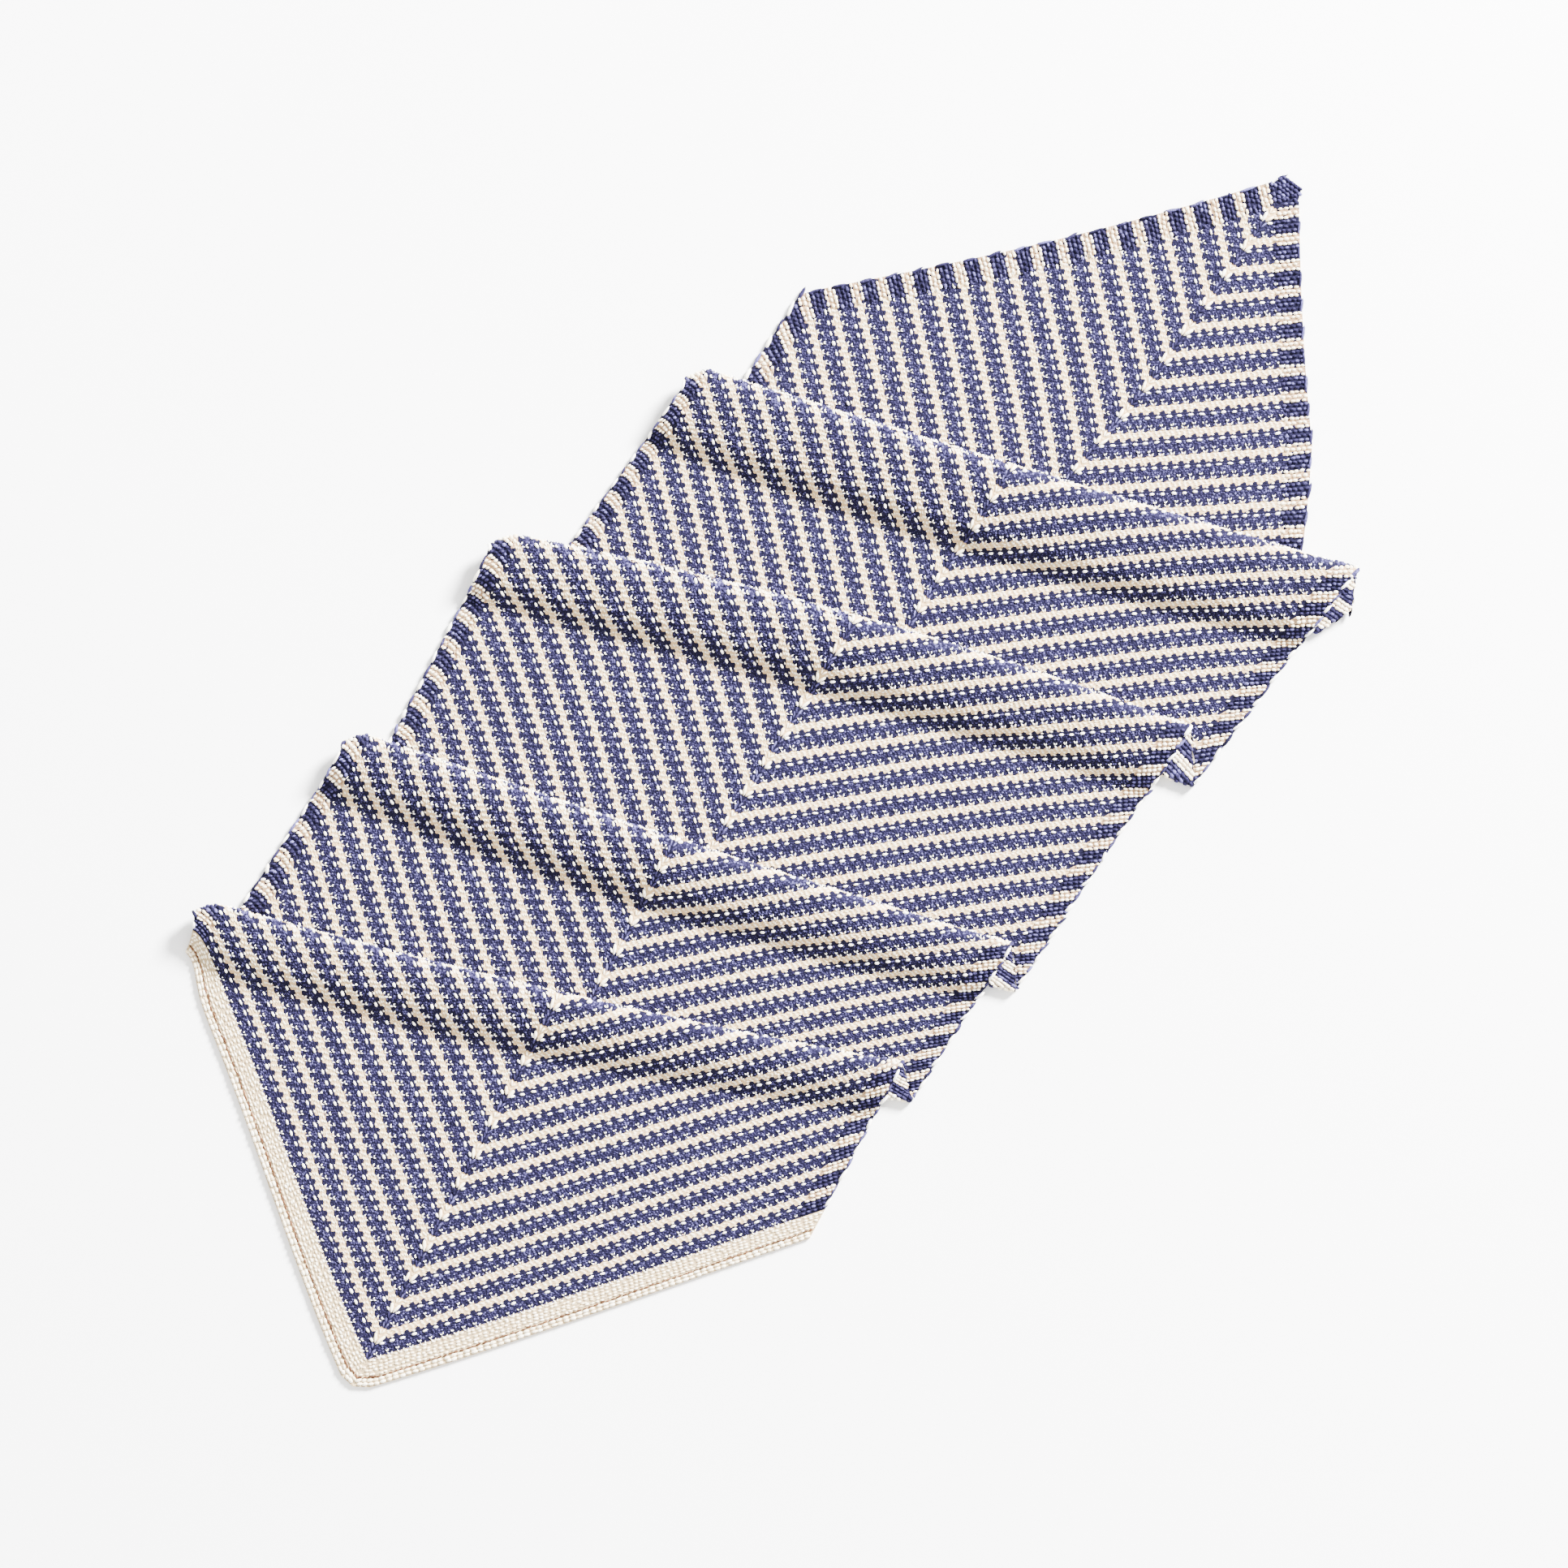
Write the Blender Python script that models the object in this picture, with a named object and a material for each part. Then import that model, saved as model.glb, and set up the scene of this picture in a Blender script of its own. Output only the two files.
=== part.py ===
"""A knitted chevron wrap, laid flat on a surface in four soft pleats.

The wrap is one long piece of cotton knitting: a corner tip, two straight sides and a
pointed end. Its rows are chevrons that meet at a centre spine. A point of the cloth is
named by its length from the tip along the spine and its place across the spine. Each
pleat doubles the cloth back over itself and forward again, and the table of pleats
says where its crest lies, how deep and high it is and how much cloth has passed there.

Tables are in millimetres and objects in metres. The tip points along +Y.
"""

import math

import bpy
import numpy as np
from mathutils import Vector
from mathutils.geometry import delaunay_2d_cdt

MM = 0.001

# The cloth, laid out flat.
HALF_WIDTH = 298.0
CHEVRON = math.radians(49)  # between a row and the spine
STRIPE = 23.26  # one cream and one blue stripe, measured across the rows
FIRST_STRIPE = 0.27  # stripes that the very tip counts as already knitted
TAB_END = 1.3  # stripe count where the tip tab ends
BORDER_START = 59.5  # stripe count where the plain end border starts
BORDER_END = 60.6  # stripe count at the pointed edge
SELVEDGE = 19.0
SPINE_HALF = 4.0
TAB_FRONT = 6.0  # the blunt tip's edge, in length of cloth
TAB_HALF = 13.0
TIP_DIP = {"left": 9.0, "right": 14.0}  # how far the tip's long edges pull in
POINT_ROUND = 14.0  # the point is rounded off this far either side of the spine
ROUND_RISE = 5.0
EDGE_STEP = 26.0

# The knitting's thickness. What is raised stands up from the right side only.
WALL = 3.2
RAISED = {"spine": 0.9, "selvedge": 0.8, "border": 0.6, "tab": 0.8, "wing": 0.0}
SEAM = 0.3
FLOOR = WALL / 2  # height of the wall's middle where the cloth lies flat

# How the cloth is laid. The tip lies at TIP and the spine runs off at HEADING from -Y.
TIP = (31.0, 704.0)
CENTRE = (-19.83, 19.61, 0.0)  # the middle of the laid cloth, which becomes the origin
HEADING = math.radians(2.3)
BEFORE_TIP = -100.0  # the laid cloth is worked out from here on
SLANT = 0.32  # the pleats cross the cloth at this slope
FLAT_UNTIL = 235.0  # cloth that lies quite flat before the first pleat, at the spine
TURN = 3.0  # radius of the cloth's middle at the tight lower turn
REST_GAP = 1.0  # how much the doubled layer lifts on its way to the crest
DROP_BEFORE = 5.0
DROP_AFTER = 22.0  # the top layer falls to the floor between these, past the lower turn
CREST_SAG = 0.33  # share of its height that the top layer loses before it drops

# Each pleat, in columns for the left edge, the spine and the right edge.
# crest: where its highest line lies. depth: from the crest to the lower turn.
# slide: how far the lower turn is shifted along the pleat. height: top of the crest.
# under: length of cloth where the lowest layer goes below the crest.
# over: length of cloth at the crest.
PLEATS = (
    {"crest": ((-288, 239), (-10, 343), (287, 458)), "depth": (56, 64, 61), "slide": (30, 22, 11),
     "height": (25, 27, 23), "under": (436, 343, 214), "over": (590, 504, 394)},
    {"crest": ((-335, 16), (-36, 153), (257, 257)), "depth": (46, 53, 48), "slide": (46, 28, 17),
     "height": (25, 27, 22), "under": (826, 690, 619), "over": (906, 811, 719)},
    {"crest": ((-329, -201), (-42, -101), (250, 8)), "depth": (42, 46, 37), "slide": (28, 20, 16),
     "height": (25, 26, 21), "under": (1140, 1065, 997), "over": (1262, 1187, 1113)},
    {"crest": ((-343, -402), (-39, -271), (238, -134)), "depth": (42, 40, 30), "slide": (22, 17, 16),
     "height": (23, 24, 21), "under": (1460, 1363, 1291), "over": (1536, 1451, 1387)},
)
# A line beyond the pointed end, on the floor.
FAR_LINE = ((-267, -717), (31, -667), (322, -608))
FAR_CLOTH = (1905, 1860, 1958)

# How finely the laid cloth is divided.
TURN_STEPS = 5
FLOOR_STEPS = 2
BACK_STEPS = 2
TOP_STEPS = 3
DROP_STEPS = 5
ACROSS_STEP = 95.0
LINE_POINTS = 9  # points on the line that a station of the path draws across the cloth
MERGE = 0.7  # points of the flat cloth nearer than this become one
CREASE = math.radians(50)  # edges sharper than this are shaded as edges

# Linear colours. The striped pieces have the mean of their blue and cream rows.
COTTON = {
    "blue_garter": (0.09, 0.113, 0.342),
    "chevron_knit": (0.44, 0.42, 0.49),
    "spine_stitch": (0.45, 0.43, 0.5),
    "striped_garter": (0.41, 0.39, 0.46),
    "cream_garter": (0.855, 0.787, 0.694),
}
# Each piece: its kind in the table RAISED, and its cotton.
NODES = {"tip_tab": ("tab", "blue_garter"), "end_border": ("border", "cream_garter")}
# The striped pieces have a stretch before the first crest, between crests and after the last.
for stretch in range(1, len(PLEATS) + 2):
    NODES[f"centre_spine_{stretch}"] = ("spine", "spine_stitch")
    for side in ("left", "right"):
        NODES[f"{side}_wing_{stretch}"] = ("wing", "chevron_knit")
        NODES[f"{side}_selvedge_{stretch}"] = ("selvedge", "striped_garter")


def across(columns, place):
    """A smooth value across the cloth: left column at -1, spine at 0, right at 1."""
    columns = np.array(columns, float)
    weights = np.stack([place * (place - 1) / 2, 1 - place**2, place * (place + 1) / 2], -1)
    return weights @ columns


def ease(x):
    """A soft step from 0 to 1."""
    x = np.clip(x, 0, 1)
    return x * x * (3 - 2 * x)


def flat_place(length, offset):
    """Where the flat tip's cloth lies on the floor."""
    x = TIP[0] + length * np.sin(HEADING) + offset * np.cos(HEADING)
    y = TIP[1] - length * np.cos(HEADING) + offset * np.sin(HEADING)
    return np.stack([x, y], -1)


def directions(pleat):
    """Unit vectors along a pleat's crest and down the cloth across it."""
    line = np.subtract(pleat["crest"][2], pleat["crest"][0]).astype(float)
    line /= np.linalg.norm(line)
    return line, np.array([line[1], -line[0]])


def lower_turn(pleat, place):
    """The plan of the lower turn: the crest moved down by the depth and along by the slide."""
    line, down = directions(pleat)
    depth, slide = across(pleat["depth"], place), across(pleat["slide"], place)
    return across(pleat["crest"], place) + depth[:, None] * down + slide[:, None] * line


class Path:
    """The cloth's way over the floor and through the pleats, for an array of places across."""

    def __init__(self, place):
        self.place, self.points, self.marks = place, [], []

    def add(self, plan, height):
        """One more station of the path."""
        height = np.broadcast_to(height, self.place.shape)
        self.points.append(np.concatenate([plan, height[:, None]], -1))

    def run(self, start, end, share, height):
        """A station part of the way from one plan line to another."""
        self.add(start + (end - start) * share[:, None], height)

    def mark(self, cloth):
        """Says what length of cloth has passed at the last station."""
        self.marks.append((len(self.points) - 1, cloth))

    def finish(self):
        """(points, cloth length) at every station; the cloth between two marks is spread evenly."""
        points = np.array(self.points)
        steps = np.linalg.norm(np.diff(points, axis=0), axis=-1)
        run = np.concatenate([np.zeros((1, len(self.place))), np.cumsum(steps, 0)])
        cloth = np.empty(run.shape)
        for (i, before), (j, after) in zip(self.marks[:-1], self.marks[1:]):
            share = (run[i : j + 1] - run[i]) / (run[j] - run[i])
            cloth[i : j + 1] = before + (after - before) * share
        return points, cloth


def lay(place):
    """Follows the cloth from the tip to the far line, at each place across it."""
    path = Path(place)
    offset = place * HALF_WIDTH
    for at_spine in (BEFORE_TIP, FLAT_UNTIL):
        length = at_spine - SLANT * offset
        path.add(flat_place(length, offset), FLOOR)
        path.mark(length)
    start, laid = flat_place(length, offset), np.zeros(len(place))
    for number, pleat in enumerate(PLEATS):
        down = directions(pleat)[1]
        depth, height = across(pleat["depth"], place), across(pleat["height"], place)
        crest, turn = across(pleat["crest"], place), lower_turn(pleat, place)
        last = number + 1 == len(PLEATS)
        after = across(FAR_LINE, place) if last else lower_turn(PLEATS[number + 1], place)
        reach, onward = (turn - start) @ down, (after - crest) @ down

        hidden = 1 - depth / reach
        for step in range(1, FLOOR_STEPS + 1):
            path.run(start, turn, laid + (hidden - laid) * step / FLOOR_STEPS, FLOOR)
        path.mark(across(pleat["under"], place))
        path.run(start, turn, 1 - (depth + TURN) / 2 / reach, FLOOR)
        path.run(start, turn, 1 - TURN / reach, FLOOR)

        for step in range(1, TURN_STEPS + 1):
            angle = math.pi * step / TURN_STEPS
            back, rise = TURN * (1 - math.sin(angle)), FLOOR + TURN * (1 - math.cos(angle))
            if 2 * step <= TURN_STEPS:
                path.run(start, turn, 1 - back / reach, rise)
            else:
                path.run(turn, crest, back / depth, rise)

        doubled = FLOOR + 2 * TURN
        radius = (height - WALL / 2 - doubled - REST_GAP) / 2
        for step in range(1, BACK_STEPS + 1):
            share = step / BACK_STEPS
            along = TURN / depth + (1 - radius / depth - TURN / depth) * share
            path.run(turn, crest, along, doubled + REST_GAP * ease(share))

        middle = doubled + REST_GAP + radius
        for step in range(1, TURN_STEPS + 1):
            angle = math.pi * step / TURN_STEPS
            back = radius * (1 - math.sin(angle))
            rise = middle - radius * math.cos(angle)
            if 2 * step < TURN_STEPS:
                path.run(turn, crest, 1 - back / depth, rise)
            else:
                path.run(crest, after, back / onward, rise)
            if step == (TURN_STEPS + 1) // 2:
                path.mark(across(pleat["over"], place))

        top, begin, foot = middle + radius, depth - DROP_BEFORE, depth + DROP_AFTER

        def top_layer(distance):
            sag = 1 - CREST_SAG * np.clip((distance - radius) / (depth - radius), 0, 1) ** 2
            fall = 1 - ease((distance - begin) / (foot - begin))
            return FLOOR + (top - FLOOR) * sag * fall

        for step in range(1, TOP_STEPS + 1):
            distance = radius + (begin - radius) * step / TOP_STEPS
            path.run(crest, after, distance / onward, top_layer(distance))
        for step in range(1, DROP_STEPS + 1):
            distance = begin + (foot - begin) * step / DROP_STEPS
            path.run(crest, after, distance / onward, top_layer(distance))
        start, laid = crest, foot / onward
    path.run(start, after, np.ones(len(place)), FLOOR)
    path.mark(across(FAR_CLOTH, place))
    return path.finish()


def stripes(length, offset):
    """How many stripes have been knitted at a point of the cloth."""
    across_rows = length * math.sin(CHEVRON) + np.abs(offset) * math.cos(CHEVRON)
    return FIRST_STRIPE + across_rows / STRIPE


def row_length(count, offset):
    """The length of cloth at which a row crosses a place beside the spine."""
    across_rows = (count - FIRST_STRIPE) * STRIPE
    return (across_rows - abs(offset) * math.cos(CHEVRON)) / math.sin(CHEVRON)


def tip_edge(length, side):
    """Distance from the spine to the tip's long edge, which pulls in between its ends."""
    corner = HALF_WIDTH * math.tan(CHEVRON)
    pull = TIP_DIP[side] * np.sin(np.clip(np.asarray(length) / corner, 0, 1) * math.pi)
    return length / math.tan(CHEVRON) - pull


def edge_line(side, inset):
    """Lengths, and distances from the spine there, of the cloth's edge or a line inset from it."""
    corner = (HALF_WIDTH + max(TIP_DIP.values())) * math.tan(CHEVRON)
    lengths = np.append(np.arange(TAB_FRONT, corner - EDGE_STEP / 2, EDGE_STEP), corner)
    slanted = tip_edge(lengths, side) - inset / math.sin(CHEVRON)
    spread = np.minimum(np.maximum(slanted, 0 if inset else TAB_HALF), HALF_WIDTH - inset)
    return lengths, spread


def edge_at(length, side, inset):
    """Distance from the spine to the cloth's edge, or to a line inset from it."""
    return float(np.interp(length, *edge_line(side, inset)))


def feature_lines():
    """Polylines in the cloth, as (length, offset), that the pieces' edges follow."""
    lines = [[(TAB_FRONT, -TAB_HALF), (TAB_FRONT, TAB_HALF)]]
    for side, sign in (("left", -1), ("right", 1)):
        for inset, count in ((0, BORDER_END), (SELVEDGE, BORDER_START)):
            spread = HALF_WIDTH - inset
            line = [(s, sign * t) for s, t in zip(*edge_line(side, inset)) if t > 0]
            lines.append(line + [(row_length(count, spread), sign * spread)])
        lines.append([(0.0, sign * SPINE_HALF), (row_length(BORDER_START, 0), sign * SPINE_HALF)])
        for count in (TAB_END, BORDER_START):
            lines.append([(row_length(count, 0), 0.0), (row_length(count, HALF_WIDTH), sign * HALF_WIDTH)])
        rounded = [(rounding(part * POINT_ROUND), sign * part * POINT_ROUND) for part in (0, 0.5, 1)]
        lines.append(rounded + [(row_length(BORDER_END, HALF_WIDTH), sign * HALF_WIDTH)])
    return lines


def rounding(spread):
    """The length of cloth at the pointed edge, whose very point is rounded off."""
    sharp = row_length(BORDER_END, max(spread, POINT_ROUND))
    return sharp + ROUND_RISE * (1 - min(spread / POINT_ROUND, 1))


def piece_at(length, offset, crests):
    """Names the piece that a point of the cloth belongs to, or None outside the cloth."""
    side = "left" if offset < 0 else "right"
    count = float(stripes(length, offset))
    spread = abs(offset)
    if length < TAB_FRONT or spread > edge_at(length, side, 0) or length > rounding(spread):
        return None
    if count < TAB_END:
        return "tip_tab"
    if count > BORDER_START:
        return "end_border"
    stretch = 1 + sum(length > np.interp(offset, *crest) for crest in crests)
    if spread > edge_at(length, side, SELVEDGE):
        return f"{side}_selvedge_{stretch}"
    if spread < SPINE_HALF:
        return f"centre_spine_{stretch}"
    return f"{side}_wing_{stretch}"


def divide():
    """Cuts the flat cloth into triangles along the stations, the pieces and some lengthwise lines."""
    places = np.linspace(-1, 1, LINE_POINTS)
    stations = lay(places)[1]
    crests = []
    for pleat in PLEATS:
        over = across(pleat["over"], places)
        crests.append((places * HALF_WIDTH, stations[np.argmin(np.abs(stations - over).max(1))]))
    lines = feature_lines()
    for row in stations[1:]:
        lines.append(list(zip(row, places * HALF_WIDTH)))
    count = round((HALF_WIDTH - SELVEDGE) / ACROSS_STEP)
    far = row_length(BORDER_END, 0)
    for step in range(1, count):
        for sign in (-1, 1):
            spread = sign * (HALF_WIDTH - SELVEDGE) * step / count
            lines.append([(0.0, spread), (far, spread)])
    points, edges = [], []
    for line in lines:
        edges += [(len(points) + i, len(points) + i + 1) for i in range(len(line) - 1)]
        points += [Vector((float(s), float(t))) for s, t in line]
    verts, _, faces, *_ = delaunay_2d_cdt(points, edges, [], 0, MERGE)
    verts = np.array(verts)
    pieces = {name: [] for name in NODES}
    for face in faces:
        middle = verts[list(face)].mean(0)
        name = piece_at(*middle, crests)
        if name:
            pieces[name].append(tuple(face))
    return verts, pieces


def laid_points(cloth_points):
    """Where points of the cloth, as (length, offset), lie in space: the middle of the wall."""
    points, cloth = lay(cloth_points[:, 1] / HALF_WIDTH)
    laid = np.empty((len(cloth_points), 3))
    for i, length in enumerate(cloth_points[:, 0]):
        laid[i] = [np.interp(length, cloth[:, i], points[:, i, axis]) for axis in range(3)]
    return laid


def right_side(laid, faces):
    """Unit vectors that point out of the cloth's right side at each point."""
    faces = np.array(faces)
    corner = laid[faces]
    normal = np.cross(corner[:, 1] - corner[:, 0], corner[:, 2] - corner[:, 0])
    total = np.zeros_like(laid)
    for column in range(3):
        np.add.at(total, faces[:, column], normal)
    size = np.linalg.norm(total, axis=1, keepdims=True)
    return total / np.maximum(size, 1e-9)


def drawn_in(verts, faces):
    """The piece's cloth points with its edge drawn in by half a seam."""
    uses = {}
    for face in faces:
        for a, b in zip(face, face[1:] + face[:1]):
            uses[(a, b)] = uses.get((a, b), 0) + 1
    moved, inward = verts.copy(), {}
    rim = [edge for edge in uses if (edge[1], edge[0]) not in uses]
    for a, b in rim:
        along = verts[b] - verts[a]
        along /= np.linalg.norm(along)
        for vertex in (a, b):
            inward.setdefault(vertex, []).append(np.array([-along[1], along[0]]))
    for vertex, ways in inward.items():
        way = sum(ways)
        way /= np.linalg.norm(way)
        # At a sharp corner the point moves further, but not more than twice as far.
        moved[vertex] += way * SEAM / 2 / max(0.5, min(way @ w for w in ways))
    return moved, rim


def make_wall(name, verts, faces, normals):
    """A closed wall: the right side, the wrong side and the rim between them."""
    kind, yarn = NODES[name]
    moved, rim = drawn_in(verts, faces)
    used = sorted({vertex for face in faces for vertex in face})
    number = {vertex: i for i, vertex in enumerate(used)}
    laid = laid_points(moved[used])
    top = laid + normals[used] * (WALL / 2 + RAISED[kind])
    bottom = laid - normals[used] * WALL / 2
    bottom[:, 2] = np.maximum(bottom[:, 2], 0.0)
    below = len(used)
    skin = [tuple(number[v] for v in face) for face in faces]
    skin += [tuple(number[v] + below for v in reversed(face)) for face in faces]
    for a, b in rim:
        a, b = number[a], number[b]
        # Both pieces at a seam split its twisted faces along the same diagonal.
        if a < b:
            skin += [(b, a, a + below), (b, a + below, b + below)]
        else:
            skin += [(b, a, b + below), (a, a + below, b + below)]
    mesh = bpy.data.meshes.new(name)
    mesh.from_pydata(((np.concatenate([top, bottom]) - CENTRE) * MM).tolist(), [], skin)
    mesh.update()
    mesh.shade_smooth()
    mesh.set_sharp_from_angle(angle=CREASE)
    mesh.materials.append(cotton(yarn))
    piece = bpy.data.objects.new(name, mesh)
    bpy.context.scene.collection.objects.link(piece)
    return piece


def cotton(name):
    """The soft knitted cotton of a name in COTTON."""
    material = bpy.data.materials.get(name)
    if material is None:
        material = bpy.data.materials.new(name)
        material.use_nodes = True
        shader = material.node_tree.nodes["Principled BSDF"]
        shader.inputs["Base Color"].default_value = (*COTTON[name], 1.0)
        shader.inputs["Roughness"].default_value = 0.9
        shader.inputs["Metallic"].default_value = 0.0
    return material


def build():
    """Empties the scene and makes every piece of the wrap."""
    for item in list(bpy.data.objects):
        bpy.data.objects.remove(item, do_unlink=True)
    verts, pieces = divide()
    laid = laid_points(verts)
    everything = [face for faces in pieces.values() for face in faces]
    normals = right_side(laid, everything)
    total = 0
    for name, faces in pieces.items():
        piece = make_wall(name, verts, faces, normals)
        total += len(piece.data.polygons)
    print("triangles", total)


build()
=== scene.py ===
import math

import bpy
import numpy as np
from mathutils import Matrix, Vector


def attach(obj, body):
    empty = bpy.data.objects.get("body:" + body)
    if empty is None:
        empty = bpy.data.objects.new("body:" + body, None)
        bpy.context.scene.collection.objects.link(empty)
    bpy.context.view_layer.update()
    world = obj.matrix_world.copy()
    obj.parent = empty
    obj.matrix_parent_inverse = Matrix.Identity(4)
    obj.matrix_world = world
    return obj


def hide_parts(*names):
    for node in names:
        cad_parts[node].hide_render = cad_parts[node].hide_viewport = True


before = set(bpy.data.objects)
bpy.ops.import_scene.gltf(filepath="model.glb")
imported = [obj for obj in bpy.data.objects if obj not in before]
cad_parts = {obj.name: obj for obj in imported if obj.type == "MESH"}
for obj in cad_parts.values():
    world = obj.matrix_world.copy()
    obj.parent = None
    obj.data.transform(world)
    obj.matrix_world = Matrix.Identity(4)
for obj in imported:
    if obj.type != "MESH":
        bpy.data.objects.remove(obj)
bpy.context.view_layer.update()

# %% [markdown]
# A knitted chevron wrap lies flat on a white floor in four soft pleats. It was knitted in one
# piece from its corner tip, in slipped stitches of cream and denim blue cotton. The solids of
# the frame give its form as a plain wall. This lesson dresses them: first the way that the
# cloth lies, then thin shells of knitted ground, then every stitch that shows, then the light.

MM = 0.001
rng = np.random.default_rng(7)

# %% [markdown]
# Where does a stitch lie? A stitch is named in the flat cloth, by its length from the tip along
# the spine and its offset from the spine. A path across the floor and through the pleats then
# says where that length has got to. A cloth simulation could drop the pleats too, but the wrap
# was laid by hand with its creases where the photograph shows them, so a path is truer.

# %% Sizes of the flat cloth and of its pleats, in millimetres
HALF_WIDTH = 298.0
CHEVRON = math.radians(49)
STRIPE = 23.26  # one blue and one cream stripe, measured across the rows
ROWS = 10  # knitted rows in a stripe
PAIR = 9.5  # two stitches along a row
FIRST_STRIPE = 0.27  # stripes that the very tip counts as already knitted
TAB_END, BORDER_START, BORDER_END = 1.3, 59.5, 60.6
SELVEDGE = 19.0
SPINE_HALF = 4.0
TAB_FRONT, TAB_HALF, TAB_FLARE = 8.5, 11.5, 2.0
TIP_DIP = {-1: 9.0, 1: 14.0}  # how far the tip's left and right long edges pull in
POINT_ROUND, ROUND_RISE = 14.0, 5.0
WALL = 3.2
FLOOR = WALL / 2
TIP = (31.0, 704.0)
CENTRE = (-19.83, 19.61, 0.0)
HEADING = math.radians(2.3)
BEFORE_TIP = -100.0
SLANT, FLAT_UNTIL = 0.32, 235.0
TURN, REST_GAP = 3.0, 1.0
DROP_BEFORE, DROP_AFTER, CREST_SAG = 5.0, 22.0, 0.33
# Columns: left edge, spine, right edge. crest is a plan point, and under and over are lengths
# of cloth where the lowest layer passes below the crest and where the crest itself is.
PLEATS = (
    {"crest": ((-288, 239), (-10, 343), (287, 458)), "depth": (56, 64, 61), "slide": (30, 22, 11),
     "height": (25, 27, 23), "under": (436, 343, 214), "over": (590, 504, 394)},
    {"crest": ((-335, 16), (-36, 153), (257, 257)), "depth": (46, 53, 48), "slide": (46, 28, 17),
     "height": (25, 27, 22), "under": (826, 690, 619), "over": (906, 811, 719)},
    {"crest": ((-329, -201), (-42, -101), (250, 8)), "depth": (42, 46, 37), "slide": (28, 20, 16),
     "height": (25, 26, 21), "under": (1140, 1065, 997), "over": (1262, 1187, 1113)},
    {"crest": ((-343, -402), (-39, -271), (238, -134)), "depth": (42, 40, 30), "slide": (22, 17, 16),
     "height": (23, 24, 21), "under": (1460, 1363, 1291), "over": (1536, 1451, 1387)},
)
FAR_LINE = ((-267, -717), (31, -667), (322, -608))
FAR_CLOTH = (1905, 1860, 1958)


def across(columns, place):
    """The parabola through three columns: the left edge at -1, the spine at 0, the right at 1."""
    weights = np.stack([place * (place - 1) / 2, 1 - place**2, place * (place + 1) / 2], -1)
    return weights @ np.array(columns, float)


def ease(x):
    """A soft step from 0 to 1: three x squared less two x cubed."""
    x = np.clip(x, 0, 1)
    return x * x * (3 - 2 * x)


def flat_place(length, offset):
    """The tip's plan place: down the heading by the length and across it by the offset."""
    x = TIP[0] + length * np.sin(HEADING) + offset * np.cos(HEADING)
    y = TIP[1] - length * np.cos(HEADING) + offset * np.sin(HEADING)
    return np.stack([x, y], -1)


# %% The path: floor, lower turn, doubled layer, crest, top layer and drop, pleat by pleat
TURN_STEPS, BACK_STEPS, TOP_STEPS, DROP_STEPS = 10, 4, 8, 12
DOUBLED = FLOOR + 2 * TURN
CORNER_ROUND, CORNER_FROM = 13.0, 0.92  # each crest's left corner is rounded off


def crest_directions(pleat):
    """Unit vectors along a pleat's crest and, at a right angle, down the cloth."""
    line = np.subtract(pleat["crest"][2], pleat["crest"][0]).astype(float)
    line /= np.linalg.norm(line)
    return line, np.array([line[1], -line[0]])


def lower_turn(pleat, place):
    """The crest's plan line moved down by the depth and along by the slide."""
    line, down = crest_directions(pleat)
    depth, slide = across(pleat["depth"], place), across(pleat["slide"], place)
    return across(pleat["crest"], place) + depth[:, None] * down + slide[:, None] * line


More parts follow.
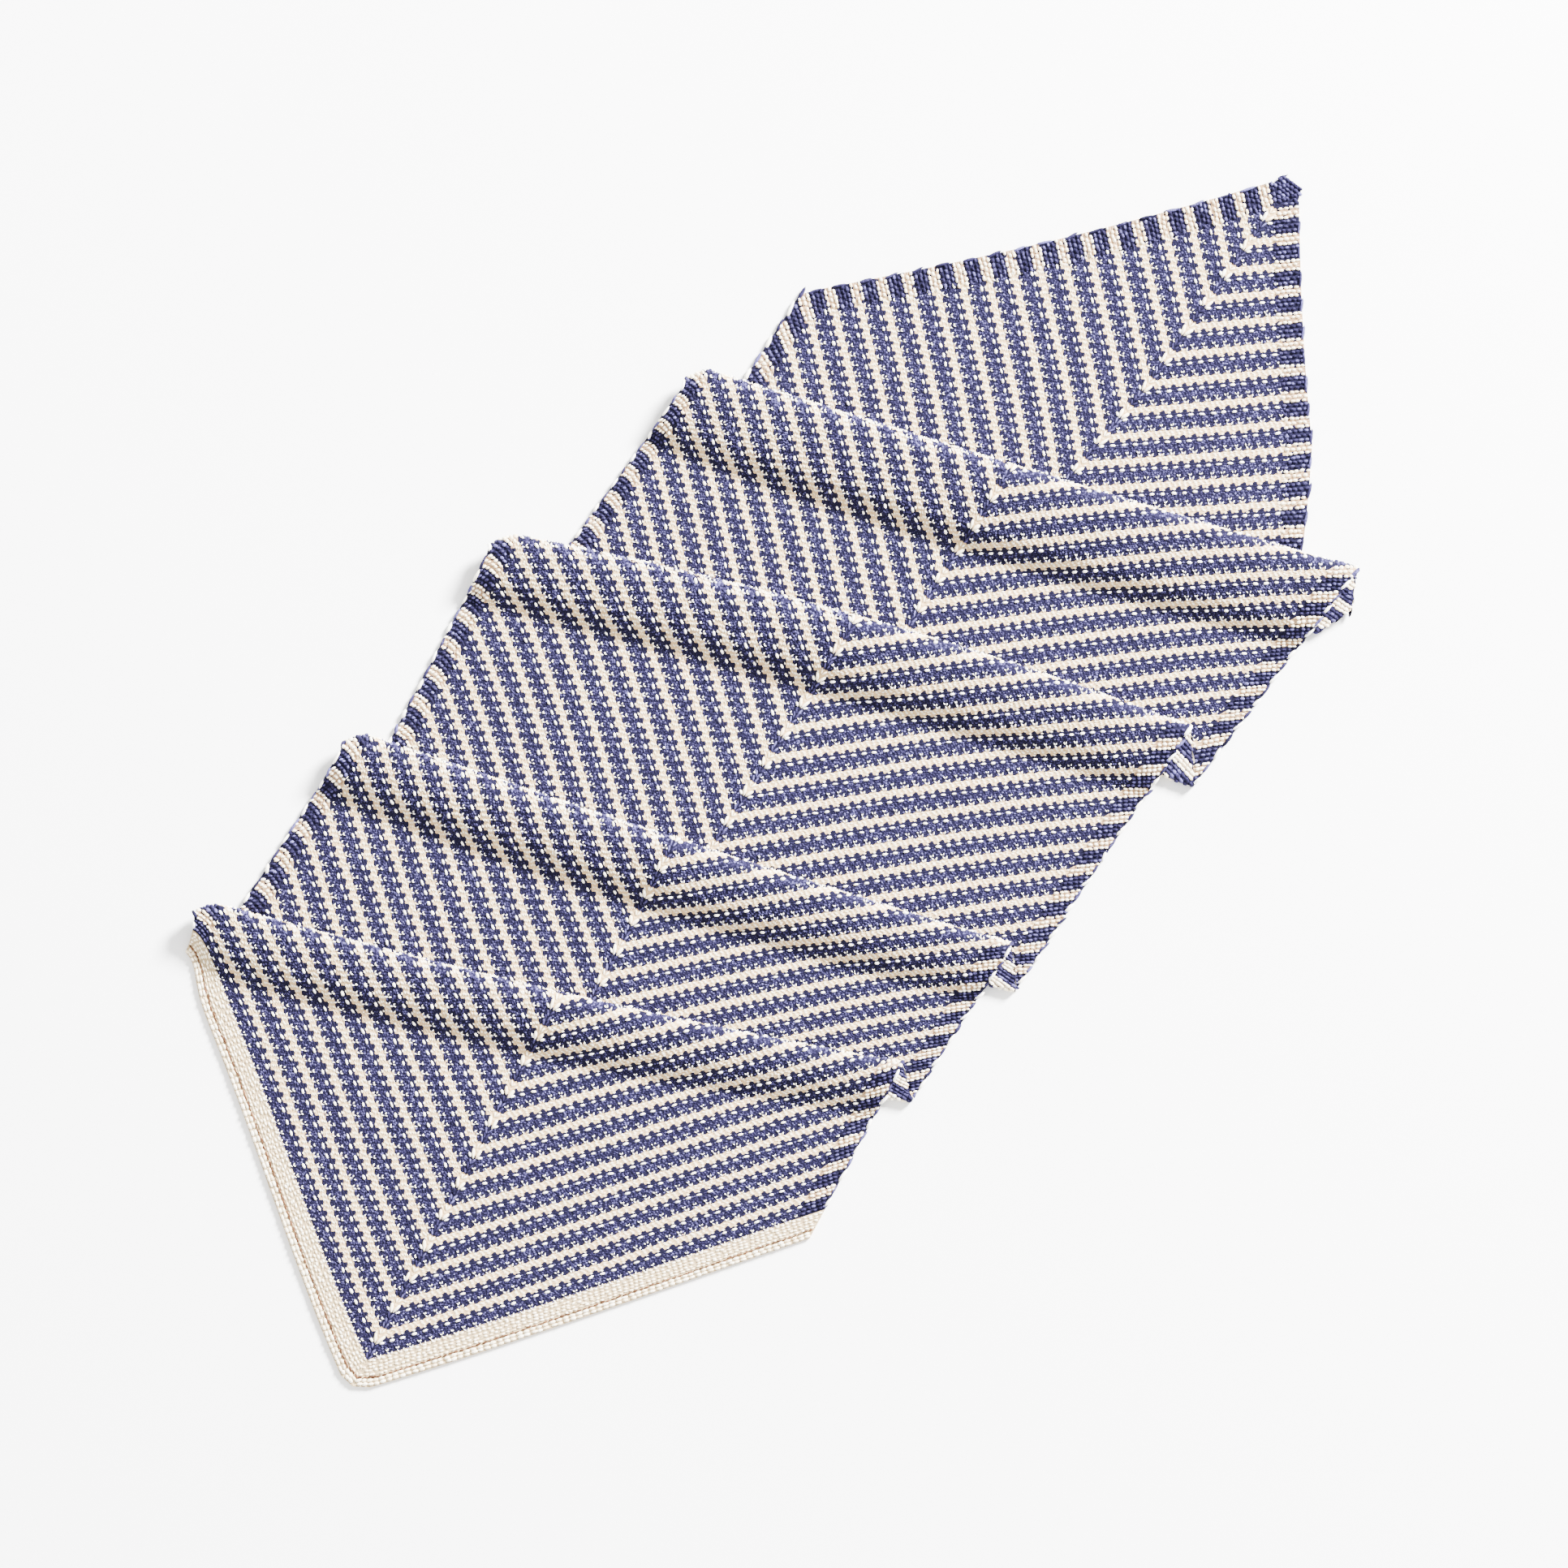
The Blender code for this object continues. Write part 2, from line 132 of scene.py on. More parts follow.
def lay(place):
    """Stations of the path at each place across: points, and the length of cloth at each."""
    points, marks = [], []

    def station(start, end, share, height):
        plan = start + (end - start) * np.reshape(share, (-1, 1))
        points.append(np.concatenate([plan, np.broadcast_to(height, place.shape)[:, None]], -1))

    offset = place * HALF_WIDTH
    for at_spine in (BEFORE_TIP, FLAT_UNTIL):
        length = at_spine - SLANT * offset
        start = flat_place(length, offset)
        station(start, start, np.zeros(1), FLOOR)
        marks.append((len(points) - 1, length))
    for number, pleat in enumerate(PLEATS):
        down = crest_directions(pleat)[1]
        depth, height = across(pleat["depth"], place), across(pleat["height"], place)
        crest, turn = across(pleat["crest"], place), lower_turn(pleat, place)
        last = number + 1 == len(PLEATS)
        after = across(FAR_LINE, place) if last else lower_turn(PLEATS[number + 1], place)
        rounded = CORNER_ROUND * np.clip((-CORNER_FROM - place) / (1 - CORNER_FROM), 0, 1.3) ** 2
        crest, depth = crest + rounded[:, None] * down, depth - rounded
        reach, onward = (turn - start) @ down, (after - crest) @ down
        laid = 0 if number == 0 else ((points[-1][:, :2] - start) @ down) / reach
        for share in (0.5, 1.0):
            station(start, turn, laid + (1 - depth / reach - laid) * share, FLOOR)
        marks.append((len(points) - 1, across(pleat["under"], place)))
        station(start, turn, 1 - (depth + TURN) / 2 / reach, FLOOR)
        station(start, turn, 1 - TURN / reach, FLOOR)
        for angle in np.pi * np.arange(1, TURN_STEPS + 1) / TURN_STEPS:
            back, rise = TURN * (1 - np.sin(angle)), FLOOR + TURN * (1 - np.cos(angle))
            if angle < np.pi / 2:
                station(start, turn, 1 - back / reach, rise)
            else:
                station(turn, crest, back / depth, rise)
        radius = (height - WALL / 2 - DOUBLED - REST_GAP) / 2
        for share in np.arange(1, BACK_STEPS + 1) / BACK_STEPS:
            along = TURN / depth + (1 - radius / depth - TURN / depth) * share
            station(turn, crest, along, DOUBLED + REST_GAP * ease(share))
        middle = DOUBLED + REST_GAP + radius
        for step in range(1, TURN_STEPS + 1):
            angle = np.pi * step / TURN_STEPS
            back, rise = radius * (1 - np.sin(angle)), middle - radius * np.cos(angle)
            if 2 * step < TURN_STEPS:
                station(turn, crest, 1 - back / depth, rise)
            else:
                station(crest, after, back / onward, rise)
            if 2 * step == TURN_STEPS:
                marks.append((len(points) - 1, across(pleat["over"], place)))
        begin, foot = depth - DROP_BEFORE, depth + DROP_AFTER
        rises = [radius + (begin - radius) * i / TOP_STEPS for i in range(1, TOP_STEPS + 1)]
        rises += [begin + (foot - begin) * i / DROP_STEPS for i in range(1, DROP_STEPS + 1)]
        for distance in rises:
            sag = 1 - CREST_SAG * np.clip((distance - radius) / (depth - radius), 0, 1) ** 2
            fall = 1 - ease((distance - begin) / (foot - begin))
            station(crest, after, distance / onward, FLOOR + (middle + radius - FLOOR) * sag * fall)
        start = crest
    station(start, after, np.ones(len(place)), FLOOR)
    marks.append((len(points) - 1, across(FAR_CLOTH, place)))
    points = np.array(points)
    run = np.cumsum(np.linalg.norm(np.diff(points, axis=0, prepend=points[:1]), axis=-1), 0)
    cloth = np.empty(run.shape)
    for (i, before), (j, passed) in zip(marks[:-1], marks[1:]):
        cloth[i : j + 1] = before + (passed - before) * (run[i : j + 1] - run[i]) / (run[j] - run[i])
    return points, cloth


# %% A map of the laid cloth: its points and the ways out of its right side, on a fine grid
MAP_STEP = 1.5
LENGTHS = np.arange(-40.0, 1896.0, MAP_STEP)
PLACES = np.linspace(-1.04, 1.04, 241)
stations, passed = lay(PLACES)
cloth_map = np.empty((len(LENGTHS), len(PLACES), 3))
for column in range(len(PLACES)):
    for axis in range(3):
        cloth_map[:, column, axis] = np.interp(LENGTHS, passed[:, column], stations[:, column, axis])
# The border's left corner was tucked in by hand: a bell-shaped tug moves the cloth round it.
TUCKED, TUCK, TUCK_SPREAD = np.array([-336.0, -456.0]), (3.0, 15.0, 0.0), 24.0
away = np.linalg.norm(cloth_map[..., :2] - TUCKED, axis=-1, keepdims=True)
beyond = ease((LENGTHS[:, None, None] - across(PLEATS[-1]["over"], PLACES)[:, None] + 5) / 25)
cloth_map += np.array(TUCK) * np.exp(-((away / TUCK_SPREAD) ** 2) / 2) * beyond
ways = np.cross(np.gradient(cloth_map, axis=0), np.gradient(cloth_map, axis=1))
ways /= np.maximum(np.linalg.norm(ways, axis=-1, keepdims=True), 1e-6)
print("map", cloth_map.shape, "height", cloth_map[..., 2].max())


def on_cloth(length, offset, lift):
    """Points at a height above the wall's middle: the map blended between its four nearest points."""
    row = np.clip((length - LENGTHS[0]) / MAP_STEP, 0, len(LENGTHS) - 1.001)
    column = (offset / HALF_WIDTH - PLACES[0]) / (PLACES[1] - PLACES[0])
    column = np.clip(column, 0, len(PLACES) - 1.001)
    i, j = row.astype(int), column.astype(int)
    a, b = (row - i)[..., None], (column - j)[..., None]

    def blend(field):
        low = field[i, j] * (1 - b) + field[i, j + 1] * b
        high = field[i + 1, j] * (1 - b) + field[i + 1, j + 1] * b
        return low * (1 - a) + high * a

    way = blend(ways)
    way /= np.linalg.norm(way, axis=-1, keepdims=True)
    return blend(cloth_map) + way * np.asarray(lift)[..., None]


# %% [markdown]
# The cloth's pieces are strips of knitted rows, so each is a grid: one way counts the stripes
# from the tip, the other runs along a row from the spine to the edge. A row is a straight line
# at 49 degrees to the spine, and the same formula, turned round, gives the stripe at any point.

# %% Rows, and where they meet the edges
SIN, COS = math.sin(CHEVRON), math.cos(CHEVRON)
CORNER = HALF_WIDTH * math.tan(CHEVRON)


def row_length(count, spread):
    """Length from the tip where a row crosses a spread from the spine: (d - spread cos) / sin."""
    return ((count - FIRST_STRIPE) * STRIPE - spread * COS) / SIN


def stripes(length, spread):
    """How many stripes have been knitted at a point: the distance across the rows over a stripe."""
    return FIRST_STRIPE + (length * SIN + spread * COS) / STRIPE


def blunt_length(count, spread):
    """A border row's length, whose very point is rounded off: past the border's start it moves
    towards a low bow over the point by its share of the border."""
    near = np.clip(1 - spread / POINT_ROUND, 0, 1)
    bow = row_length(BORDER_END, POINT_ROUND) + ROUND_RISE * near - row_length(BORDER_END, spread)
    share = (count - BORDER_START) / (BORDER_END - BORDER_START)
    return row_length(count, spread) + np.where(near > 0, bow, 0) * share


def row_end(count, side, inset=0.0):
    """Spread where a row meets the edge, or a line inset from it: the tip's long edge pulls in
    along a half sine, and past the tip's corner the side is straight."""
    reach = (count - FIRST_STRIPE) * STRIPE
    spread = reach * COS
    for _ in range(6):  # each round brings the spread nearer to the edge
        length = (reach - spread * COS) / SIN
        pull = TIP_DIP[side] * np.sin(np.clip(length / CORNER, 0, 1) * np.pi)
        spread = reach * COS - (pull + inset / SIN) * SIN**2
    return np.clip(spread, SPINE_HALF, HALF_WIDTH - inset)


# %% One wall of cloth from a grid of cloth places: right side, wrong side and the rim between
def shell(name, length, offset, raised=0.0):
    """length and offset are grids in the cloth. The right side lies half a wall and what is
    raised above the path, and the wrong side half a wall below it, but never under the floor."""
    rows, columns = length.shape
    top = on_cloth(length, offset, np.full(length.shape, WALL / 2 + raised))
    bottom = on_cloth(length, offset, np.full(length.shape, -WALL / 2))
    bottom[..., 2] = np.maximum(bottom[..., 2], 0)
    number = np.arange(rows * columns).reshape(rows, columns)
    a, b, c, d = (number[:-1, :-1], number[1:, :-1], number[1:, 1:], number[:-1, 1:])
    upper = np.stack([a, b, c, d], -1).reshape(-1, 4)
    lower = upper[:, ::-1] + rows * columns
    rim = np.concatenate([number[0, ::-1], number[1:, 0], number[-1, 1:], number[-2:0:-1, -1]])
    after = np.roll(rim, -1)
    walls = np.stack([rim, rim + rows * columns, after + rows * columns, after], -1)
    places = np.stack([length, offset], -1).reshape(-1, 2)
    faces = np.concatenate([upper, lower, walls])
    points = np.concatenate([top.reshape(-1, 3), bottom.reshape(-1, 3)])
    return new_piece(name, points, faces, np.concatenate([places, places]), two_sided=rows * columns)


def new_piece(name, points, faces, places, tint=None, two_sided=None):
    """A mesh from whole arrays, in metres about the laid cloth's middle. Its map holds how many
    stitch pairs along the row and how many stripes up the cloth each corner is."""
    mesh = bpy.data.meshes.new(name)
    mesh.vertices.add(len(points))
    mesh.vertices.foreach_set("co", ((points - CENTRE) * MM).astype(np.float32).ravel())
    sides = faces.shape[1]
    mesh.loops.add(faces.size)
    mesh.loops.foreach_set("vertex_index", faces.astype(np.int32).ravel())
    mesh.polygons.add(len(faces))
    mesh.polygons.foreach_set("loop_start", np.arange(0, faces.size, sides, dtype=np.int32))
    mesh.update(calc_edges=True)
    mesh.validate()
    spread = np.abs(places[:, 1])
    count = stripes(places[:, 0], spread)
    chart = np.stack([np.sign(places[:, 1]) * spread / SIN / PAIR, count], -1)
    layer = mesh.uv_layers.new(name="stitches")
    layer.data.foreach_set("uv", chart[faces.ravel()].astype(np.float32).ravel())
    if tint is not None:
        mesh.attributes.new("tint", "FLOAT", "POINT").data.foreach_set("value", tint.astype(np.float32))
    if two_sided is not None:
        wrong = (np.arange(len(points)) >= two_sided).astype(np.float32)
        mesh.attributes.new("wrong_side", "FLOAT", "POINT").data.foreach_set("value", wrong)
    mesh.shade_smooth()
    if two_sided is not None:
        mesh.set_sharp_from_angle(angle=math.radians(60))
    piece = bpy.data.objects.new(name, mesh)
    bpy.context.scene.collection.objects.link(piece)
    print(name, len(faces) * (sides - 2), "triangles")
    return piece


# %% [markdown]
# Yarn. The wrap is soft worsted-weight cotton: matte and plied. The cream's warm beige gaps
# between its stitches are painted shade, and the denim blue is heathered, from ink to lilac. The
# stitches themselves are modelled, so a material only has to give colour and ply. The slipped strands
# are painted the brightest, a painted highlight where they lie on top, and a dark tan strand of
# painted shade draws the border's groove.
#
# The picture is finished with a film-like view transform that darkens deep colours and pales
# bright ones, and light mixes between neighbouring stitches before it. So the blues here are
# deeper, and the creams warmer, than the cloth looks.

# %% Colour and node helpers
def linear(code):
    """An sRGB hex colour as linear red, green, blue and alpha."""
    parts = np.array([int(code[i : i + 2], 16) for i in (1, 3, 5)]) / 255
    return (*np.where(parts <= 0.04045, parts / 12.92, ((parts + 0.055) / 1.055) ** 2.4), 1.0)


def add(tree, kind, settings=None, feeds=None, stops=()):
    """Adds one node and returns it. settings are its properties. feeds fill its inputs, by name
    or number, with a value or with another node's output. stops are a colour ramp's (position,
    hex colour) pairs."""
    node = tree.nodes.new("ShaderNode" + kind)
    for name, value in (settings or {}).items():
        setattr(node, name, value)
    for name, value in (feeds or {}).items():
        if isinstance(value, bpy.types.NodeSocket):
            tree.links.new(value, node.inputs[name])
        else:
            node.inputs[name].default_value = value
    for number, (position, code) in enumerate(stops):
        if number >= len(node.color_ramp.elements):
            node.color_ramp.elements.new(position)
        element = node.color_ramp.elements[number]
        element.position, element.color = position, linear(code)
    return node


def new_material(name):
    """A material with its output and a matte cotton shader, which barely shines."""
    material = bpy.data.materials.new(name)
    material.use_nodes = True
    tree = material.node_tree
    shader = tree.nodes["Principled BSDF"]
    shader.inputs["Roughness"].default_value = 0.9
    shader.inputs["Specular IOR Level"].default_value = 0.06
    shader.inputs["Sheen Weight"].default_value = 0.01
    return material, tree, shader


# %% Plied yarn: fine slanting plies, and each stitch with its own tint
PLY = 1.3 * MM  # between two plies


def yarn(name, stops, depth=0.25):
    """Cotton yarn whose colour runs through the stops by the stitch's tint and a fleck of noise."""
    material, tree, shader = new_material(name)
    place = add(tree, "TexCoord").outputs["Object"]
    tint = add(tree, "Attribute", {"attribute_name": "tint"}).outputs["Fac"]
    noise = {"Vector": place, "Scale": 0.6 / PLY, "Detail": 2.0}
    fleck = add(tree, "TexNoise", feeds=noise).outputs["Fac"]
    both = add(tree, "Math", {"operation": "MULTIPLY_ADD"}, {0: fleck, 1: 0.7, 2: tint}).outputs[0]
    colour = add(tree, "ValToRGB", feeds={"Fac": both}, stops=stops).outputs["Color"]
    wave = {"Vector": place, "Scale": 0.31 / PLY, "Distortion": 3.0, "Detail": 1.0}
    plies = add(tree, "TexWave", {"bands_direction": "DIAGONAL"}, wave).outputs["Fac"]
    bump = add(tree, "Bump", feeds={"Height": plies, "Strength": depth, "Distance": 0.4 * MM})
    tree.links.new(colour, shader.inputs["Base Color"])
    tree.links.new(bump.outputs["Normal"], shader.inputs["Normal"])
    return material


blue_yarn = yarn("denim_blue_cotton_yarn", [(0.3, "#0F0D20"), (0.6, "#26223E"), (0.95, "#5C588A")])
cream_yarn = yarn("cream_cotton_yarn", [(0.25, "#DFC9A2"), (0.6, "#F0E4CA"), (0.95, "#FAF4E4")])
# The slipped strands' yarn is the cream yarn painted brighter: a painted highlight where they lie on
# top.
cream_yarn_painted_highlight = yarn("cream_strand_painted_highlight", [(0.2, "#F8F0DC"), (0.6, "#FDF9EE"), (1.0, "#FFFDF6")])
# The groove strand's dark tan is painted shade in the border's groove.
groove_shade_yarn = yarn("tan_shadow_strand", [(0.2, "#2E1A10"), (0.6, "#4A2F20"), (1.0, "#6B4630")])
print("yarns", [item.name for item in (blue_yarn, cream_yarn, cream_yarn_painted_highlight, groove_shade_yarn)])

# %% [markdown]
# Between the stitches the eye sees down into the cloth, and the shade there is painted: ink blue in
# the blue rows and beige in the cream ones. The ground's material reads the stitch chart, so its
# stripes follow the rows through every pleat. Both sides have it, and the wrong side shows its own
# garter bumps, with painted shade between them.

# %% The knitted ground
CREAM_MIDDLE, CREAM_HALF, CREAM_SWAY = 0.70, 0.145, 0.065  # the cream rows in a stripe
FIRST_PAIR = 0.62  # the first slipped strand's place along its row, in pairs
FLAT_SHARE = 0.2  # how much of a stitch's colour shows on the right side, under real stitches


def ground(name, striped=True, blue_gap_shade="#0F0D1E", gap_shade="#B8986C", blue="#26223E", cream="#EDE1C6"):
    """The cloth between its stitches. Stitch height is the sine along the row times the sine
    across the rows, both without their signs, and colour runs from the painted gap shade, ink in the
    blue rows and beige in the cream, to the yarn's by that height, so the low places between the
    stitches are painted shade. On the right side, under the real stitches, only the flat share of
    that height shows, so that side is mostly painted shade. A point is cream where its distance from
    the middle of the cream rows is less than their half, and that half is narrower at the slipped
    strands by a cosine. A ground without stripes has the gap's painted shade and the cream's colour
    all over."""
    material, tree, shader = new_material(name)
    chart = add(tree, "UVMap", {"uv_map": "stitches"}).outputs["UV"]
    parts = add(tree, "SeparateXYZ", feeds={"Vector": chart})
    pairs, count = parts.outputs["X"], parts.outputs["Y"]

    # Each step is an operation and its inputs, and a word stands for an earlier step's output.
    found = {"pairs": pairs, "count": count}
    found["wrong"] = add(tree, "Attribute", {"attribute_name": "wrong_side"}).outputs["Fac"]
    for step, operation, *values in (
        ("rows", "MULTIPLY", "count", float(ROWS)),
        ("whole", "FLOOR", "rows"),
        ("odd", "MULTIPLY", "whole", 0.5),
        ("along", "MULTIPLY_ADD", "pairs", 2.0, "odd"),
        ("turn_along", "MULTIPLY", "along", math.pi),
        ("wave_along", "SINE", "turn_along"),
        ("turn_over", "MULTIPLY", "rows", math.pi),
        ("wave_over", "SINE", "turn_over"),
        ("both_waves", "MULTIPLY", "wave_along", "wave_over"),
        ("stitch", "ABSOLUTE", "both_waves"),
        ("share", "MULTIPLY_ADD", "wrong", 1 - FLAT_SHARE, FLAT_SHARE),
        ("lit", "MULTIPLY", "stitch", "share"),
        ("from_spine", "ABSOLUTE", "pairs"),
        ("from_strand", "SUBTRACT", "from_spine", FIRST_PAIR),
        ("turn_pair", "MULTIPLY", "from_strand", math.tau),
        ("sway", "COSINE", "turn_pair"),
        ("half", "MULTIPLY_ADD", "sway", -CREAM_SWAY, CREAM_HALF),
        ("stripe", "FRACT", "count"),
        ("from_middle", "SUBTRACT", "stripe", CREAM_MIDDLE),
        ("distance", "ABSOLUTE", "from_middle"),
        ("inside", "LESS_THAN", "distance", "half"),
    ):
        feeds = {i: found[v] if isinstance(v, str) else v for i, v in enumerate(values)}
        found[step] = add(tree, "Math", {"operation": operation}, feeds).outputs[0]
    # Painted shade: the colour runs down to the gap shade where the stitch height is low.
    blues = add(tree, "ValToRGB", feeds={"Fac": found["lit"]}, stops=[(0.0, blue_gap_shade), (1.0, blue)])
    creams = add(tree, "ValToRGB", feeds={"Fac": found["lit"]}, stops=[(0.0, gap_shade), (1.0, cream)])
    cream_share = found["inside"] if striped else 1.0
    mixed = {0: cream_share, 6: blues.outputs[0], 7: creams.outputs[0]}
    colour = add(tree, "Mix", {"data_type": "RGBA"}, mixed).outputs[2]
    raised = {"Height": found["stitch"], "Strength": 0.6, "Distance": 1.0 * MM}
    bump = add(tree, "Bump", feeds=raised)
    tree.links.new(colour, shader.inputs["Base Color"])
    tree.links.new(bump.outputs["Normal"], shader.inputs["Normal"])
    return material


# The gap colour of every ground is painted shade between the stitches.
striped_ground = ground("slip_stitch_ground")
edge_ground = ground("striped_garter_ground", gap_shade="#8A6A4C")
cream_ground = ground("cream_garter_ground", striped=False, gap_shade="#A6906C", cream="#E2D5B8")
blue_ground = ground("blue_garter_ground", striped=False, gap_shade="#0F0D1E", cream="#26223E")
print("grounds", [item.name for item in (striped_ground, edge_ground, cream_ground, blue_ground)])

# %% What every piece gets
SIDES = {-1: "left", 1: "right"}
pieces = {}  # each wall's name, with the wall and the layers of stitches that go with it


def finish_piece(piece, material, replaces=(), goes_with=None):
    """Gives a piece its material, its slot in the record, the body that it rides on and the
    solids that it stands for. A layer of stitches names the wall that it goes with instead."""
    piece.data.materials.append(material)
    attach(piece, "root")
    if replaces:
        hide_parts(*replaces)
    if goes_with:
        pieces[goes_with][1].append(piece)
    else:
        pieces[piece.name] = (piece, [])
    return piece


# %% [markdown]
# The wings are the two halves of the striped cloth, the spine is the column of large stitches
# between them, and garter selvedges run up both sides. Each is one grid of rows.

# %% The striped pieces' walls
WING_START = 1.55  # the stripe count of the first row with a wing beside the spine
WING_STEP, WING_COLUMNS = 0.12, 44
EDGE_STEP, EDGE_COLUMNS, SPINE_COLUMNS = 0.1, 6, 7
SPINE_RAISED, SELVEDGE_RAISED, BORDER_RAISED, TAB_RAISED = 0.3, 0.3, 0.2, 0.3


def rows_grid(counts, inner, outer, columns, side):
    """Lengths and offsets on rows at the counts, evenly spaced from the inner to the outer spread."""
    share = np.linspace(0, 1, columns)
    spread = inner[:, None] + (outer - inner)[:, None] * share
    if side < 0:
        spread = spread[:, ::-1]
    return row_length(counts[:, None], spread), side * spread


STRETCHES = range(1, len(PLEATS) + 2)  # the solids before, between and after the crests
for side, word in SIDES.items():
    counts = np.append(np.arange(WING_START, BORDER_START, WING_STEP), BORDER_START)
    inner = np.full(len(counts), SPINE_HALF)
    grid = rows_grid(counts, inner, row_end(counts, side, SELVEDGE), WING_COLUMNS, side)
    wing = shell(word + "_wing_ground", *grid)
    finish_piece(wing, striped_ground, [f"{word}_wing_{i}" for i in STRETCHES])
    counts = np.append(np.arange(TAB_END, BORDER_START, EDGE_STEP), BORDER_START)
    inner, outer = row_end(counts, side, SELVEDGE), row_end(counts, side)
    grid = rows_grid(counts, inner, outer, EDGE_COLUMNS, side)
    edge = shell(word + "_selvedge_ground", *grid, raised=SELVEDGE_RAISED)
    finish_piece(edge, edge_ground, [f"{word}_selvedge_{i}" for i in STRETCHES])

counts = np.append(np.arange(TAB_END, BORDER_START, EDGE_STEP), BORDER_START)
spread = np.linspace(-SPINE_HALF, SPINE_HALF, SPINE_COLUMNS)
length = row_length(counts[:, None], np.abs(spread))
grid = (length, np.broadcast_to(spread, length.shape))
finish_piece(shell("spine_ground", *grid, raised=SPINE_RAISED), striped_ground,
             [f"centre_spine_{i}" for i in STRETCHES])

# %% [markdown]
# The cloth ends in a cream garter border that follows the last rows to a blunt point, and it
# starts from a blue garter tab, a rounded little diamond.

# %% The border's wall
BORDER_COLUMNS, POINT_COLUMNS, POINT_INSIDE, BORDER_ROWS = 75, 5, 9, 9
one_side = np.linspace(POINT_ROUND, HALF_WIDTH, BORDER_COLUMNS)
point = np.linspace(-POINT_INSIDE, POINT_INSIDE, POINT_COLUMNS)
spread = np.concatenate([-one_side[::-1], point, one_side])
counts = np.linspace(BORDER_START, BORDER_END, BORDER_ROWS)
length = blunt_length(counts[:, None], np.abs(spread))
grid = (length, np.broadcast_to(spread, length.shape))
finish_piece(shell("border_ground", *grid, raised=BORDER_RAISED), cream_ground,
             ["end_border"])

# %% The tab's wall: its half width grows by the flare, and a circle's arc narrows its front
TAB_COLUMNS, TAB_ROWS, TAB_ARC = 13, 9, 0.6
across_tab = np.linspace(-1, 1, TAB_COLUMNS)
share = np.linspace(0, 1, TAB_ROWS)[:, None]
narrowed = np.sqrt(np.clip(1 - (TAB_ARC * (1 - share)) ** 2, 0, 1))
spread = across_tab * (TAB_HALF + TAB_FLARE * share) * narrowed
far = row_length(TAB_END, np.abs(spread))
length = TAB_FRONT + (far - TAB_FRONT) * share
grid = (length, spread)
finish_piece(shell("tab_ground", *grid, raised=TAB_RAISED), blue_ground, ["tip_tab"])

# %% [markdown]
# Now the stitches. A stitch is a small soft dome of yarn, far too many to model one by one, so
# one template is laid at every place of a chart as one joined mesh. Each has a little of its own
# size, turn and tint, because no two hand-knitted stitches are alike. Geometry Nodes could
# scatter them, but arrays keep each stitch on its chart's place and bend it with the cloth.

# %% A stitch template, and stitches at many places
def dome(sides, rings):
    """Rings of (radius, height) about a top at height 1: points on circles, then the fan of faces."""
    angle = np.arange(sides) * math.tau / sides
    points = [np.stack([r * np.cos(angle), r * np.sin(angle), np.full(sides, h)], -1) for r, h in rings]
    points.append(np.array([[0.0, 0.0, 1.0]]))
    faces = []
    for ring in range(len(rings) - 1):
        for i in range(sides):
            a, b = ring * sides + i, ring * sides + (i + 1) % sides
            faces += [(a, b, b + sides), (a, b + sides, a + sides)]
    last = (len(rings) - 1) * sides
    faces += [(last + i, last + (i + 1) % sides, last + sides) for i in range(sides)]
    return np.concatenate(points), np.array(faces)


SEED = dome(4, [(1.0, -0.35)])
LEG = dome(4, [(1.0, -0.3), (0.75, 0.65)])
STRAND = dome(6, [(1.0, -0.3), (0.72, 0.7)])
LOOP = dome(8, [(1.0, -0.3), (0.75, 0.62)])


def stitches(name, counts, spreads, sides, size, turn=0.0, template=SEED, raised=0.0, taper=0.0,
             loose=0.4, plain=False, under=False, length_of=row_length):
    """Lays the template at (counts, spreads) on the given sides of the spine. size is the
    stitch's half length, half width and height in mm, and turn its angle from the row, towards
    the pointed end. taper narrows one end: width times 1 less taper times the place along it.
    loose is how far in mm a stitch strays from its place, and it turns with that.
    A plain stitch points down the cloth instead of along its row, one under is on the wrong
    side, and length_of gives the length at a count and spread."""
    points, faces = template
    n = len(counts)
    own = rng.normal(0, 1, (6, n))
    half_length, half_width, height = size
    u = points[:, 0] * half_length * (1 + 0.08 * own[0][:, None])
    v = points[:, 1] * half_width * (1 + 0.1 * own[1][:, None]) * (1 - taper * points[:, 0])
    lift = WALL / 2 + raised + points[:, 2] * height * (1 + 0.12 * own[2][:, None])
    angle = np.broadcast_to(turn, (n,))[:, None] + 0.25 * loose * own[3][:, None]
    along = u * np.cos(angle) - v * np.sin(angle) + loose * own[4][:, None]
    over = u * np.sin(angle) + v * np.cos(angle) + loose / 2 * own[5][:, None]
    centre = length_of(counts, spreads)[:, None]
    sides = np.broadcast_to(sides, (n,))[:, None]
    if plain:
        length, offset = centre + along, sides * spreads[:, None] + over
    else:
        length = centre - along * COS + over * SIN
        offset = sides * (spreads[:, None] + along * SIN + over * COS)
    laid = on_cloth(length, offset, -lift if under else lift)
    laid[..., 2] = np.maximum(laid[..., 2], 0)
    mirrored = (sides.ravel() > 0) & (not plain)
    joined = faces[None] + (np.arange(n) * len(points))[:, None, None]
    joined = np.where((mirrored != under)[:, None, None], joined[..., ::-1], joined)
    tint = np.repeat(np.clip(0.25 + 0.14 * rng.normal(0, 1, n), -0.05, 0.6), len(points))
    places = np.stack([length, offset], -1).reshape(-1, 2)
    return new_piece(name, laid.reshape(-1, 3), joined.reshape(-1, 3), places, tint)


